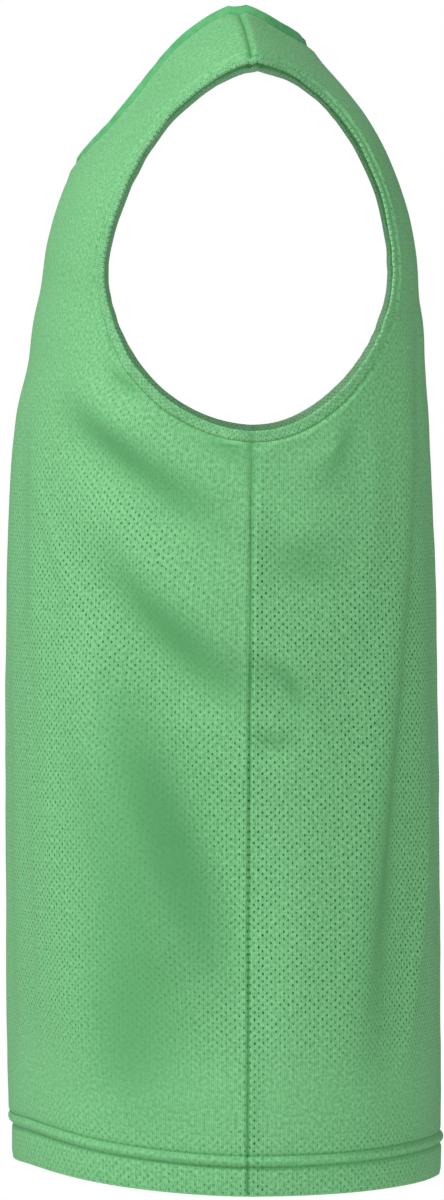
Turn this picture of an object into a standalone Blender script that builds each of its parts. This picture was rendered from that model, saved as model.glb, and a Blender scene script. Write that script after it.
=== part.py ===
"""Sleeveless training bib in mesh knit, filled out as if worn, with nobody in it.

Frame: metres, +Z up, the front faces -Y and the wearer's left is +X.  The origin is
the place where the shoulders carry the bib: midway between the two neck points of the
shoulder seams, at their height.

The cloth is one form that is cut into pieces.  A place on it is (across, along).
"across" runs from the middle of a panel, 0, to its side seam, 1 on the wearer's left
and -1 on the right.  "along" is the length of cloth up from the chest line.  Below that
line the sections are level, and above it they lean back more and more about the chest
line, until the last one stands upright in the shoulder seam.
"""

import math

import bpy
import numpy as np

# ---------------------------------------------------------------- driving sizes

BODY_DROP = 0.717  # from the shoulders' height down to the hem's fold
CHEST_LINE = -0.208  # height of the line that the leaning sections turn about
LEAN_RADIUS = 0.150  # length of cloth that a radian of lean takes up
CHEST_TO_HEM = CHEST_LINE + BODY_DROP
SHOULDER = LEAN_RADIUS * math.pi / 2  # along, at the shoulder seam

WALL = 0.0015  # thickness of the cloth
SEAM_GAP = 0.0003  # between pieces that are sewn to each other

NECK_POINT = 0.088  # half the width between the neck points of the shoulder seams
FRONT_NECK_LEAN = math.radians(46.8)  # lean at the front neckline's lowest point
BACK_NECK_LEAN = math.radians(77.5)  # lean at the back neckline's lowest point
NECK_ROUND = 2.2  # exponent of the neckline's curve, where 2 is an ellipse

ARMHOLE_Y, ARMHOLE_Z = 0.0020, -0.1596  # the armhole's middle, seen from the side
ARMHOLE_UP, ARMHOLE_DOWN = 0.1319, 0.1019
# reach to the front or back of that middle, and the exponents of its two curves
ARMHOLE = {
    "front": {"reach": 0.0929, "upper": 1.62, "lower": 1.92},
    "back": {"reach": 0.0916, "upper": 1.87, "lower": 1.95},
}

NECK_BAND = {"width": 0.0072, "thickness": 0.0026}
ARM_BAND = {"width": 0.0068, "thickness": 0.0024}
# How far the neck band stands up from the cloth, at the middle and at the shoulders.
NECK_STAND = math.radians(12), math.radians(54)
STAND_GROWTH = 0.8  # exponent with which it grows from the one to the other

HEM_STITCHES = 0.0175  # from the hem's fold up to the lower row of stitches
HEM_HEIGHT = 0.0245  # and up to the upper row
HEM_SWELL = 0.0007  # how far the turned-up cloth stands out
HEM_FADE = 0.0040  # it comes back to the single cloth over this height
STITCH_SINK = 0.0006  # how deep a row of stitches pulls the cloth in
STITCH_REACH = 0.0018  # and how far from the row
FRONT_TUCK = 0.0030  # how far the hem turns in under the front's overhang
TUCK_START, TUCK_FADE = 0.015, 0.014  # height at which that ends, and over which
TUCK_SHARE = 0.75  # it also fades out over this share of the panel, from its middle
FRONT_LIFT, BACK_LIFT = 0.0176, 0.0050  # how far each hem rises from the side seams
HEM_ROWS = (0.0, 0.0080, 0.0140, HEM_STITCHES, 0.0210, HEM_HEIGHT, 0.0280, 0.0380)

LIFT_HEIGHT = 0.200  # it fades out at this far up the cloth
LIFT_SHARE = 0.7  # and toward the side seam, over this share of the panel
HEM_DEEPER = 0.25  # share of that rise by which the turned-up hem is deeper there

# Numbers of quads: up the side seam, round the armhole, along half the neckline and
# along the shoulder seam.
GRID = {"seam": 21, "armhole": 17, "neckline": 9, "shoulder": 5}

# Level sections, from the hem up.  half_width is to the side seam, front and back are
# the reach to the panel's middle, and the last two columns are the exponents of each
# half of the outline: 2 is an ellipse, and more is squarer.
LEVEL_SECTIONS = (
    # height, half_width, front, back, front_round, back_round
    (-0.717, 0.2050, 0.1460, 0.1200, 2.16, 2.40),
    (-0.648, 0.2045, 0.1466, 0.1207, 2.20, 2.42),
    (-0.548, 0.2035, 0.1477, 0.1198, 2.25, 2.46),
    (-0.438, 0.2025, 0.1479, 0.1183, 2.28, 2.52),
    (-0.358, 0.2015, 0.1472, 0.1170, 2.30, 2.60),
    (-0.288, 0.2000, 0.1448, 0.1148, 2.30, 2.80),
    (-0.248, 0.1990, 0.1414, 0.1126, 2.35, 2.95),
    (-0.208, 0.1985, 0.1330, 0.1100, 2.40, 3.10),
)
# Sections that lean back over the shoulders, by degrees of lean.
LEANING_SECTIONS = (
    # lean, half_width, front, back, front_round, back_round
    (15, 0.2000, 0.1316, 0.1112, 2.40, 3.20),
    (30, 0.2060, 0.1397, 0.1212, 2.35, 3.20),
    (45, 0.2170, 0.1532, 0.1372, 2.30, 3.10),
    (60, 0.2340, 0.1655, 0.1585, 2.30, 2.85),
    (72, 0.2530, 0.1840, 0.1785, 2.30, 2.55),
    (82, 0.2660, 0.2045, 0.2012, 2.30, 2.35),
    (90, 0.2715, 0.2152, 0.2152, 2.30, 2.30),
)

# Folds, each a soft trough or ridge along a bowed line.  Places are in millimetres:
# round the body from the front's middle, with the wearer's left positive, and up from
# the hem.  bow is how far the line's middle is pushed to its left, seen walking from
# its start.  depth is below the form, so a ridge has a negative depth.
FOLDS = (
    # round, up, to_round, to_up, bow, half_width, depth
    (157, 476, 262, 399, 0, 12, 3.5),
    (182, 396, 276, 296, -8, 12, 4.0),
    (189, 315, 260, 103, 3, 14, 4.0),
    (199, 185, 240, 56, 0, 24, 2.5),
    (139, 461, 191, 313, 0, 15, 2.2),
    (114, 376, 133, 43, 8, 16, -2.6),
    (416, 520, 350, 77, 5, 15, 4.5),
    (450, 340, 376, 72, -6, 16, -2.6),
    (342, 468, 315, 424, 0, 12, 3.0),
    (-166, 467, -254, 405, 0, 13, 3.2),
    (-180, 384, -270, 309, 7, 12, 3.6),
    (-196, 299, -266, 126, -4, 14, 4.2),
    (-212, 170, -236, 50, 0, 22, 2.2),
    (-150, 453, -186, 332, 0, 15, 2.0),
    (-112, 360, -146, 62, -6, 17, -2.4),
    (-404, 503, -358, 95, -6, 15, 4.2),
    (-436, 309, -386, 66, 5, 17, -2.4),
    (52, 340, 66, 72, 5, 20, 1.6),
    (-40, 402, -64, 113, -6, 20, 1.4),
    (498, 484, 512, 144, -6, 20, 1.5),
    (-506, 443, -490, 99, 5, 20, 1.6),
)

COLOURS = {
    "mesh_knit": (0.153, 0.462, 0.201, 1.0),
    "binding_knit": (0.050, 0.318, 0.114, 1.0),
}


# ---------------------------------------------------------------- the worn form


def smooth_curve(at, values, where):
    """Reads a smooth curve through a table's points, which it never overshoots."""
    step = np.diff(at)
    rise = np.diff(values) / step
    turns = rise[:-1] * rise[1:] <= 0
    both = np.where(turns, 1.0, rise[:-1] + rise[1:])
    inner = np.where(turns, 0.0, 2 * rise[:-1] * rise[1:] / both)
    slope = np.concatenate([rise[:1], inner, rise[-1:]])
    i = np.clip(np.searchsorted(at, where) - 1, 0, len(step) - 1)
    t = np.clip((where - at[i]) / step[i], 0.0, 1.0)
    eased = t * t * (3 - 2 * t)
    start, end = slope[i] * step[i], slope[i + 1] * step[i]
    bend = start * t * (1 - t) ** 2 - end * t * t * (1 - t)
    return values[i] * (1 - eased) + values[i + 1] * eased + bend


def run_of_sections():
    """Every section in one run, up the front, over the shoulder and down the back."""
    front, back = [], []
    for height, half_width, fore, aft, fore_round, aft_round in LEVEL_SECTIONS:
        front.append((height - CHEST_LINE, half_width, fore, fore_round))
        back.append((height - CHEST_LINE, half_width, aft, aft_round))
    for lean, half_width, fore, aft, fore_round, aft_round in LEANING_SECTIONS:
        along = LEAN_RADIUS * math.radians(lean)
        front.append((along, half_width, fore, fore_round))
        back.append((along, half_width, aft, aft_round))
    behind = [(2 * SHOULDER - along, *sizes) for along, *sizes in back[-2::-1]]
    return np.array(front + behind).T


RUN, *SECTION_SIZES = run_of_sections()
TYPICAL_ROUND = 2.4


def girth_by_angle(count=400):
    """How far round a typical quarter section each angle is: share, angle, length."""
    angle = np.linspace(0, math.pi / 2, count)
    x = LEVEL_SECTIONS[3][1] * np.sin(angle) ** (2 / TYPICAL_ROUND)
    y = np.mean(LEVEL_SECTIONS[3][2:4]) * np.cos(angle) ** (2 / TYPICAL_ROUND)
    length = np.concatenate([[0], np.cumsum(np.hypot(np.diff(x), np.diff(y)))])
    return length / length[-1], angle, length[-1]


GIRTH_SHARE, GIRTH_ANGLE, QUARTER_GIRTH = girth_by_angle()
CHART_SIZE = (QUARTER_GIRTH, 1.0)  # turns (across, along) into metres of cloth


def section(along, side):
    """Half width, reach and exponent of the section at a place along a panel."""
    run = along if side < 0 else 2 * SHOULDER - along
    return [smooth_curve(RUN, sizes, run) for sizes in SECTION_SIZES]


def form(across, along, side):
    """A point of the smooth form.  side is -1 on the front and 1 on the back."""
    across, along = np.broadcast_arrays(np.asarray(across, float), np.asarray(along, float))
    half_width, reach, power = section(along, side)
    lean = np.clip(along, 0, SHOULDER) / LEAN_RADIUS
    angle = np.interp(np.abs(across), GIRTH_SHARE, GIRTH_ANGLE)
    x = np.sign(across) * half_width * np.sin(angle) ** (2 / power)
    r = reach * np.clip(np.cos(angle), 0, 1) ** (2 / power)
    y = side * r * np.cos(lean)
    z = CHEST_LINE + np.minimum(along, 0) + r * np.sin(lean)
    return np.stack([x, y, z], axis=-1)


def normals(across, along, side, step=1e-4):
    """Directions straight out of the form."""
    sign = np.where(np.asarray(across) < 0, -1.0, 1.0)
    inner = form(sign * np.clip(np.abs(across) - step, 0, 1), along, side)
    outer = form(sign * np.clip(np.abs(across) + step, 0, 1), along, side)
    low = form(across, np.maximum(along - step, -CHEST_TO_HEM), side)
    high = form(across, np.minimum(along + step, SHOULDER), side)
    out = np.cross((outer - inner) * sign[..., None], high - low) * -side
    return out / np.linalg.norm(out, axis=-1, keepdims=True)


def across_at(x, along, side):
    """How far across a panel the form is x from the middle."""
    half_width, _, power = section(along, side)
    angle = np.arcsin(np.clip(x / half_width, 0, 1) ** (power / 2))
    return np.interp(angle, GIRTH_ANGLE, GIRTH_SHARE)


def seen_from_side(y, z, side):
    """(across, along) of the place that shows at y, z from the wearer's left."""
    up, toward = z - CHEST_LINE, np.maximum(side * y, 0)
    along = np.where(up > 0, LEAN_RADIUS * np.arctan2(up, toward), up)
    r = np.where(up > 0, np.hypot(up, toward), toward)
    _, reach, power = section(along, side)
    angle = np.arccos(np.clip(r / reach, 0, 1) ** (power / 2))
    return np.interp(angle, GIRTH_ANGLE, GIRTH_SHARE), along


# ---------------------------------------------------------------- folds and the hem


def ease(value):
    value = np.clip(value, 0, 1)
    return value * value * (3 - 2 * value)


def fold_relief(across, along, side):
    """Height of the folds over the form, at places on one panel."""
    round_body = np.where(across < 0, -1, 1) * (2 - np.abs(across)) if side > 0 else across
    here = np.stack([round_body, along], axis=-1) * CHART_SIZE + (0, CHEST_TO_HEM)
    relief = np.zeros(here.shape[:-1])
    t = np.linspace(0, 1, 25)[:, None]
    for *ends, bow, half_width, depth in FOLDS:
        start, end = np.reshape(ends, (2, 2)) / 1000
        way = end - start
        left = np.array([-way[1], way[0]]) / np.hypot(*way)
        line = start + way * t + left * (bow / 1000) * 4 * t * (1 - t)
        apart = here[..., None, :] - line
        apart[..., 0] -= 4 * QUARTER_GIRTH * np.round(apart[..., 0] / (4 * QUARTER_GIRTH))
        distance = np.linalg.norm(apart, axis=-1)
        nearest = t[distance.argmin(axis=-1), 0]
        fade = np.sin(math.pi * (0.06 + 0.88 * nearest)) ** 0.7
        steep = (distance.min(axis=-1) * 1000 / half_width) ** 2
        relief -= depth / 1000 * fade * np.exp(-steep)
    return relief


def hem_relief(across, along, side):
    """The turned-up hem: two rows of stitches, a swell between and below them."""
    up = along + CHEST_TO_HEM
    turned = 1 - ease((up - HEM_HEIGHT) / HEM_FADE)
    rows = np.exp(-(((up - HEM_STITCHES) / STITCH_REACH) ** 2))
    rows = rows + np.exp(-(((up - HEM_HEIGHT) / STITCH_REACH) ** 2))
    relief = HEM_SWELL * turned - STITCH_SINK * rows
    if side < 0:
        middle = 1 - ease(np.abs(across) / TUCK_SHARE)
        relief = relief - FRONT_TUCK * middle * (1 - ease((up - TUCK_START) / TUCK_FADE))
    return relief


def cloth(across, along, side):
    """Points on the outside of the cloth, and the directions straight out there."""
    relief = fold_relief(across, along, side) + hem_relief(across, along, side)
    out = normals(across, along, side)
    points = form(across, along, side) + out * relief[..., None]
    low = 1 - ease((along + CHEST_TO_HEM) / LIFT_HEIGHT)
    lift = FRONT_LIFT if side < 0 else BACK_LIFT
    low = low - HEM_DEEPER * (1 - ease((along + CHEST_TO_HEM) / HEM_HEIGHT))
    points[..., 2] += lift * low * ease((1 - np.abs(across)) / LIFT_SHARE)
    return points, out


# ---------------------------------------------------------------- outlines of the cut


def armhole_edge(side, count=240):
    """A panel's armhole edge, from the underarm up to the shoulder."""
    sizes = ARMHOLE["front" if side < 0 else "back"]
    turn = np.linspace(0, math.pi, count)
    lower = turn < math.pi / 2
    power = np.where(lower, sizes["lower"], sizes["upper"])
    tall = np.where(lower, ARMHOLE_DOWN, ARMHOLE_UP)
    swing = np.cos(turn)
    y = ARMHOLE_Y + side * sizes["reach"] * np.sin(turn) ** (2 / power)
    z = ARMHOLE_Z - tall * np.sign(swing) * np.abs(swing) ** (2 / power)
    y = side * np.maximum(side * y, 0)
    across, along = seen_from_side(y, z, side)
    across[0], along[-1] = 1.0, SHOULDER
    return np.stack([across, along], axis=1)


def neck_edge(side, count=160):
    """A panel's neckline, from its middle to the neck point of the shoulder seam."""
    turn = np.linspace(0, math.pi / 2, count)
    lowest = FRONT_NECK_LEAN if side < 0 else BACK_NECK_LEAN
    rise = 1 - np.cos(turn) ** (2 / NECK_ROUND)
    along = LEAN_RADIUS * (lowest + (math.pi / 2 - lowest) * rise)
    x = NECK_POINT * np.sin(turn) ** (2 / NECK_ROUND)
    return np.stack([across_at(x, along, side), along], axis=1)


def spaced(line, side, quads):
    """Points along an outline at even steps of the cloth's own length."""
    points = form(line[:, 0], line[:, 1], side)
    steps = np.linalg.norm(np.diff(points, axis=0), axis=1)
    length = np.concatenate([[0], np.cumsum(steps)])
    wanted = np.linspace(0, length[-1], quads + 1)
    return np.stack([np.interp(wanted, length, line[:, k]) for k in (0, 1)], axis=1)


def straight(start, end, quads):
    return np.linspace(start, end, quads + 1)


# ---------------------------------------------------------------- panels


def half_lattice(side):
    """Places of half a panel's points as a grid, whose edge is the panel's outline.

    Columns run from the middle to the side.  Rows run from the hem up to the neckline
    and the shoulder seam, and end on the side seam or on the armhole.
    """
    hem, underarm = len(HEM_ROWS) - 1, len(HEM_ROWS) - 1 + GRID["seam"]
    columns, rows = GRID["neckline"] + GRID["shoulder"], underarm + GRID["armhole"]
    neck = spaced(neck_edge(side), side, GRID["neckline"])
    armhole = spaced(armhole_edge(side), side, GRID["armhole"])
    hem_top = HEM_ROWS[-1] - CHEST_TO_HEM

    place = np.zeros((columns + 1, rows + 1, 2))
    level = np.linspace(0, 1, columns + 1)
    for row, up in enumerate(HEM_ROWS):
        place[:, row] = np.stack([level, np.full(columns + 1, up - CHEST_TO_HEM)], axis=1)
    place[0, hem:] = straight((0, hem_top), neck[0], rows - hem)
    place[-1, hem : underarm + 1] = straight((1, hem_top), armhole[0], GRID["seam"])
    place[-1, underarm:] = armhole
    place[: GRID["neckline"] + 1, -1] = neck
    place[GRID["neckline"] :, -1] = straight(neck[-1], armhole[-1], GRID["shoulder"])
    spread(place[:, hem:])
    return place


def spread(place, sweeps=1500):
    """Places a grid's inner points evenly between its edges, however those curve.

    It solves the smoothness equations of Winslow, which keep lines from crossing where
    an edge is hollow, such as along a neckline.
    """
    u = np.linspace(0, 1, place.shape[0])[:, None, None]
    v = np.linspace(0, 1, place.shape[1])[None, :, None]
    low, high, first, last = place[:, :1], place[:, -1:], place[:1], place[-1:]
    corners = (first * (1 - u) + last * u)[:, [0, -1]]
    start = first * (1 - u) + last * u + low * (1 - v) + high * v
    start = start - corners[:, :1] * (1 - v) - corners[:, 1:] * v
    place[1:-1, 1:-1] = start[1:-1, 1:-1]
    place *= CHART_SIZE
    for _ in range(sweeps):
        over, up = place[2:, 1:-1] - place[:-2, 1:-1], place[1:-1, 2:] - place[1:-1, :-2]
        over_size, up_size = (np.sum(way * way, axis=-1, keepdims=True) for way in (over, up))
        skew = np.sum(over * up, axis=-1, keepdims=True) / 2
        twist = place[2:, 2:] - place[:-2, 2:] - place[2:, :-2] + place[:-2, :-2]
        beside, along = place[2:, 1:-1] + place[:-2, 1:-1], place[1:-1, 2:] + place[1:-1, :-2]
        settled = up_size * beside + over_size * along - skew * twist
        place[1:-1, 1:-1] = settled / (2 * (over_size + up_size))
    place /= CHART_SIZE


def whole_lattice(side):
    """Both halves of a panel as one grid, mirrored about its middle."""
    place = half_lattice(side)
    return np.concatenate([place[:0:-1] * (-1, 1), place])


def halved(quads, points):
    """Each quad as two triangles that meet on its shorter diagonal."""
    first, second = (
        np.linalg.norm(points[quads[:, k]] - points[quads[:, k + 2]], axis=1) for k in (0, 1)
    )
    turned = np.where((first > second + 1e-7)[:, None], np.roll(quads, -1, axis=1), quads)
    return np.concatenate([turned[:, [0, 1, 2]], turned[:, [0, 2, 3]]])


def panel_mesh(side):
    """A panel as one closed wall: its points and its faces."""
    place = whole_lattice(side)
    outside, out = cloth(place[..., 0], place[..., 1], side)
    inside = outside - out * WALL
    on_seam = (np.abs(place[..., 0]) > 1 - 1e-9) | (place[..., 1] > SHOULDER - 1e-9)
    for layer in (outside, inside):
        layer[..., 1] = np.where(on_seam, side * SEAM_GAP / 2, layer[..., 1])

    number = np.arange(on_seam.size).reshape(on_seam.shape)
    corners = [number[:-1, :-1], number[1:, :-1], number[1:, 1:], number[:-1, 1:]]
    halves = halved(np.stack(corners, axis=-1).reshape(-1, 4), outside.reshape(-1, 3))
    edge = np.concatenate([number[:, 0], number[-1, 1:], number[-2::-1, -1], number[0, -2::-1]])
    if side > 0:
        halves, edge = halves[:, ::-1], edge[::-1]
    ends = np.stack([edge[1:], edge[:-1]], axis=1)
    sides = np.concatenate([ends, ends[:, ::-1] + number.size], axis=1)
    faces = halves.tolist() + (halves[:, ::-1] + number.size).tolist() + sides.tolist()
    return np.concatenate([outside.reshape(-1, 3), inside.reshape(-1, 3)]), faces


# ---------------------------------------------------------------- bindings


def edge_of_cloth(line, side, hand):
    """Points and directions out of the cloth along an edge of a panel's left half, or
    along the same edge of its right half where hand is -1."""
    return np.stack(cloth(line[:, 0] * hand, line[:, 1], side))


def armhole_ring(hand):
    """The armhole's whole edge: up the front from the underarm and down the back."""
    first = len(HEM_ROWS) - 1 + GRID["seam"]
    front, back = (edge_of_cloth(half_lattice(side)[-1, first:], side, hand) for side in (-1, 1))
    return np.concatenate([front, back[:, -2:0:-1]], axis=1)


def neck_ring():
    """The neck's whole edge, from the front's middle round by the wearer's left."""
    lines = [half_lattice(side)[: GRID["neckline"] + 1, -1] for side in (-1, 1)]
    front, back, right_back, right_front = (
        edge_of_cloth(lines[side > 0], side, hand)
        for side, hand in ((-1, 1), (1, 1), (1, -1), (-1, -1))
    )
    left = np.concatenate([front, back[:, -2::-1]], axis=1)
    return np.concatenate([left, right_back[:, 1:], right_front[:, -2:0:-1]], axis=1)


def band_section(width, thickness):
    """A folded strip's section, as (away from the panel, out of the cloth)."""
    middle, half = -WALL / 2, thickness / 2
    shoulder, nose = 0.80 * width, 0.45 * half
    return np.array([
        (0, middle - 0.8 * half),
        (0.35 * width, middle - half),
        (shoulder, middle - half),
        (width, middle - nose),
        (width, middle + nose),
        (shoulder, middle + half),
        (0.35 * width, middle + half),
        (0, middle + 0.8 * half),
    ])


def band_mesh(points, out, width, thickness, inward, stand=0.0):
    """A strip sewn to a ring of cloth edge: its points and its faces.

    stand is the angle at which it stands up from the cloth, for each point.
    """
    ahead = np.roll(points, -1, axis=0) - np.roll(points, 1, axis=0)
    away = np.cross(ahead, out)
    away /= np.linalg.norm(away, axis=1, keepdims=True)
    facing = np.sum(away * (inward - points), axis=1).sum()
    away *= np.sign(facing)
    turn = np.broadcast_to(stand, len(points))[:, None]
    points = points + away * SEAM_GAP
    away, out = (
        away * np.cos(turn) + out * np.sin(turn),
        out * np.cos(turn) - away * np.sin(turn),
    )
    outline = band_section(width, thickness)
    rings = (
        points[:, None]
        + away[:, None] * outline[None, :, :1]
        + out[:, None] * outline[None, :, 1:]
    )
    count, corners = rings.shape[:2]
    i, k = np.meshgrid(np.arange(count), np.arange(corners), indexing="ij")
    following, beside = (i + 1) % count, (k + 1) % corners
    faces = np.stack(
        [i * corners + k, following * corners + k,
         following * corners + beside, i * corners + beside], axis=-1,
    ).reshape(-1, 4)
    return rings.reshape(-1, 3), (faces if facing > 0 else faces[:, ::-1]).tolist()


# ---------------------------------------------------------------- objects


def fabric(name):
    material = bpy.data.materials.new(name)
    material.use_nodes = True
    shader = material.node_tree.nodes["Principled BSDF"]
    shader.inputs["Base Color"].default_value = COLOURS[name]
    shader.inputs["Roughness"].default_value = 0.85
    material.diffuse_color = COLOURS[name]
    return material


def add_piece(name, points, faces, material):
    """Adds one closed, faceted solid to the scene."""
    mesh = bpy.data.meshes.new(name)
    mesh.from_pydata(points.tolist(), [], faces)
    mesh.materials.append(material)
    mesh.validate()
    piece = bpy.data.objects.new(name, mesh)
    bpy.context.scene.collection.objects.link(piece)


def clear_scene():
    for thing in list(bpy.data.objects):
        bpy.data.objects.remove(thing)


def build_bib():
    mesh_knit, binding_knit = fabric("mesh_knit"), fabric("binding_knit")
    add_piece("front_panel", *panel_mesh(-1), mesh_knit)
    add_piece("back_panel", *panel_mesh(1), mesh_knit)

    points, out = neck_ring()
    low, high = NECK_STAND
    stand = low + (high - low) * (np.abs(points[:, 0]) / NECK_POINT) ** STAND_GROWTH
    band = band_mesh(points, out, **NECK_BAND, inward=points.mean(axis=0), stand=stand)
    add_piece("neck_binding", *band, binding_knit)
    for name, hand in (("left", 1), ("right", -1)):
        points, out = armhole_ring(hand)
        middle = points.mean(axis=0)
        band = band_mesh(points, out, **ARM_BAND, inward=middle)
        add_piece("armhole_binding_" + name, *band, mesh_knit)


clear_scene()
build_bib()
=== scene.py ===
import math

import bpy
import numpy as np
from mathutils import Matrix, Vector, noise


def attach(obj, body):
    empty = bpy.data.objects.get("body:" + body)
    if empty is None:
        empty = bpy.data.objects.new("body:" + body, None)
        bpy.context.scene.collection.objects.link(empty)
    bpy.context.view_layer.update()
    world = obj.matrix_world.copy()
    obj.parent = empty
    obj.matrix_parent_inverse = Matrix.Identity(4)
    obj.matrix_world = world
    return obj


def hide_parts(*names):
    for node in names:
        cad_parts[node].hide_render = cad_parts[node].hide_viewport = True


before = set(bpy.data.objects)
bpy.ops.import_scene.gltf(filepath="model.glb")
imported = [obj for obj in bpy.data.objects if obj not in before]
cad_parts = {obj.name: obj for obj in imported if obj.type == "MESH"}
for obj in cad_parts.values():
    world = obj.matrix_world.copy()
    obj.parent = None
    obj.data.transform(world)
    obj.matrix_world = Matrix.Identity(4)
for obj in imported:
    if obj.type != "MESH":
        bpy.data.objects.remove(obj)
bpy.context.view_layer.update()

# A sleeveless training bib in green mesh knit, filled out as if worn.  Metres, +Z up,
# the front faces -Y and the wearer's left is +X.  A place on the cloth is (across,
# along): across runs from a panel's middle, 0, to its side seam, 1 or -1, and along is
# the length of cloth up from the chest line.

# ---------------------------------------------------------------- driving sizes

BODY_DROP = 0.717  # from the shoulders' height down to the hem's fold
CHEST_LINE = -0.208  # height of the line that the leaning sections turn about
LEAN_RADIUS = 0.150  # length of cloth that a radian of lean takes up
CHEST_TO_HEM = CHEST_LINE + BODY_DROP
SHOULDER = LEAN_RADIUS * math.pi / 2  # along, at the shoulder seam

MM = 0.001
CLOTH = 0.0010  # thickness of one layer of the mesh knit
SEAM_GAP = 0.0001  # between two pieces that are sewn together

NECK_POINT = 0.088  # half the width between the neck points of the shoulder seams
FRONT_NECK_LEAN = math.radians(46.8)  # lean of the cloth at a neckline's lowest
BACK_NECK_LEAN = math.radians(77.5)
NECK_ROUND = 2.2  # exponent of both necklines' curve

ARMHOLE_Y, ARMHOLE_Z = 0.0020, -0.1596  # the armhole's middle, seen from the side
ARMHOLE_UP, ARMHOLE_DOWN = 0.1319, 0.1019  # how far the hole goes up and down from it
ARMHOLE = {  # how far forward or back it goes, and the exponents of its curve
    "front": {"reach": 0.0929, "upper": 1.62, "lower": 1.92},
    "back": {"reach": 0.0916, "upper": 1.87, "lower": 1.95},
}

NECK_BAND = {"width": 0.0072, "thickness": 0.0025}
ARM_BAND = {"width": 0.0068, "thickness": 0.0023}
# How steeply the neck's strip stands out of the cloth, in degrees, at the middle of the
# front or back and at the shoulder, and the depth over which one blends into the other.
NECK_STAND = {"front": (12, 42), "back": (24, 54)}
NECK_BLEND = 0.03
NECK_JOIN = 0.299  # length round the neck from the front's middle to the back's
ARM_JOIN = 0.656  # and round an armhole, up the front from the underarm and down the back
BAND_STEP = 0.0032  # length of a strip's quads, away from its join
JOIN_STEPS = (-0.0016, -0.0007, -0.00025, 0.00025, 0.0007, 0.0016)
JOIN_CLEAR = 0.0026
JOIN_PINCH, JOIN_NARROW = 0.45, 0.0004  # the groove where a strip's ends meet
JOIN_SWELL, JOIN_WIDE = 0.18, 0.0022  # and the bulk of the ends beside it
BAND_FALL = -0.0005  # how far a strip's middle lies under the cloth's face
BAND_RISE = (  # share of a strip's width, and of its half thickness there
    (0.00, 0.30), (0.06, 0.66), (0.14, 0.90), (0.24, 1.00), (0.34, 0.92),
    (0.48, 0.84), (0.64, 0.86), (0.78, 0.92), (0.88, 0.86), (0.95, 0.62),
)

HEM_STITCHES = 0.0175  # from the hem's fold up to the lower row of stitches
HEM_HEIGHT = 0.0245  # and up to the upper row
HEM_SWELL, SWELL_FADE = 0.0007, 0.0020  # how far the turned-up hem stands out
HEM_RIDGE = 0.0011  # how far the cloth puffs out between the two rows
STITCH_SINK = 0.0015  # how deep a row of stitches pulls it in
ROW_REACH, PUFF_REACH = 0.0011, 0.0022  # half the widths of a row's groove and the puff
TURN_TOP, TURN_FADE = 0.0008, 0.0018  # where the hem's second layer ends, over the rows
TURN_START = 0.0015  # and how far above its fold it is full
FRONT_TUCK = 0.0030  # how far the front's hem turns in, near its middle
TUCK_SHARE, TUCK_TOP, TUCK_FADE = 0.75, 0.015, 0.014  # and how far out and up it goes
FRONT_LIFT, BACK_LIFT = 0.0176, 0.0050  # how much higher the cloth hangs at the middles
LIFT_HEIGHT = 0.200  # how far up that reaches
LIFT_SHARE = 0.7  # and how far from the side seam to the middle it grows
HEM_DEEPER = 0.25  # share of it that the hem's fold gives back
HEM_ROWS = (
    0.0, 0.0012, 0.0030, 0.0060, 0.0095, 0.0130, 0.0155, HEM_STITCHES - 0.0008,
    HEM_STITCHES, HEM_STITCHES + 0.0008, 0.0198, 0.0210, 0.0222, HEM_HEIGHT - 0.0008,
    HEM_HEIGHT, HEM_HEIGHT + 0.0008, 0.0262, 0.0275, 0.0300, 0.0340, 0.0380,
)
STITCH = {"pitch": 0.0031, "length": 0.0024, "radius": 0.00030}
SEAM_STITCH = {"pitch": 0.0026, "length": 0.0014, "radius": 0.00032}
STRAND = (
    # along a stitch, as a share of its length, then its radius and lift, in radii
    (-0.50, 0.45, -0.90), (-0.36, 0.95, 0.20), (0.00, 1.00, 0.55), (0.36, 0.95, 0.20),
    (0.50, 0.45, -0.90),
)
STRAND_SIDES = 6
NUDGE = 0.0005  # length to each side of a stitch that gives its direction

SEAM_DIP = 0.0012  # how deep a seam pulls the cloth in
SEAM_REACH = 0.0015  # half the width of that groove
SEAM_ROLL = 0.0005  # height of the roll of cloth beside it
ROLL_PLACE, ROLL_REACH = 0.0026, 0.0012  # how far from the seam it lies, and how wide
ALLOWANCE = 0.0070  # width of the seam allowance that lies under the cloth
ALLOWANCE_RISE = 0.0005  # how far it lifts the cloth
ALLOWANCE_SLOPE = 0.0022  # the length of cloth over which that rises
ALLOWANCE_END, ALLOWANCE_FADE = 0.0015, 0.0025  # and where it falls, before the far edge
ALLOWANCE_FACES = (0.0002, 0.0013)  # how far under the cloth its two faces are
ALLOWANCE_FLAT = (0.45, 0.002)  # its length on the flat cloth, and a step across it
SIDE_ALLOWANCE = (0.0008, 0.004, 150)  # how far short it stops at each end, and its rings
SHOULDER_ALLOWANCE = (0.008, 30)
# Steps across an allowance: the panel that each is on, and how far from the seam.
ALLOWANCE_STEPS = ((-1, 0.0018), (1, 0.0), (1, 0.0022), (1, 0.0045), (1, ALLOWANCE))
# How far the seams wander toward the back: at the neck and at the armhole for a
# shoulder seam, at the hem and at the underarm for a side seam.
SHOULDER_SWAY = (-0.0043, 0.0032)
SIDE_SWAY = (0.0012, 0.0034)
SWAY_REACH = 0.060  # how far from the seam the cloth goes along with it
SHOULDER_WIDTH = 0.078  # length of a shoulder seam, seen from the front
SEAM_TOP = 0.0535  # the underarm is this far below the chest line

GRID = {"seam": 21, "armhole": 17, "neckline": 9, "shoulder": 5}  # the solids' quads
FINER = 4  # quads of this scene's cloth for each of those, each way
EDGE_ROWS = 5  # rows of quads that the overlocked edges cover on the inside
SWEEPS, FINER_SWEEPS = 1500, 250  # how often the first grid is evened out, and each finer one
PLAN_POINTS = (141, 221)  # points across and along that the flat cut is worked out at

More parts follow.
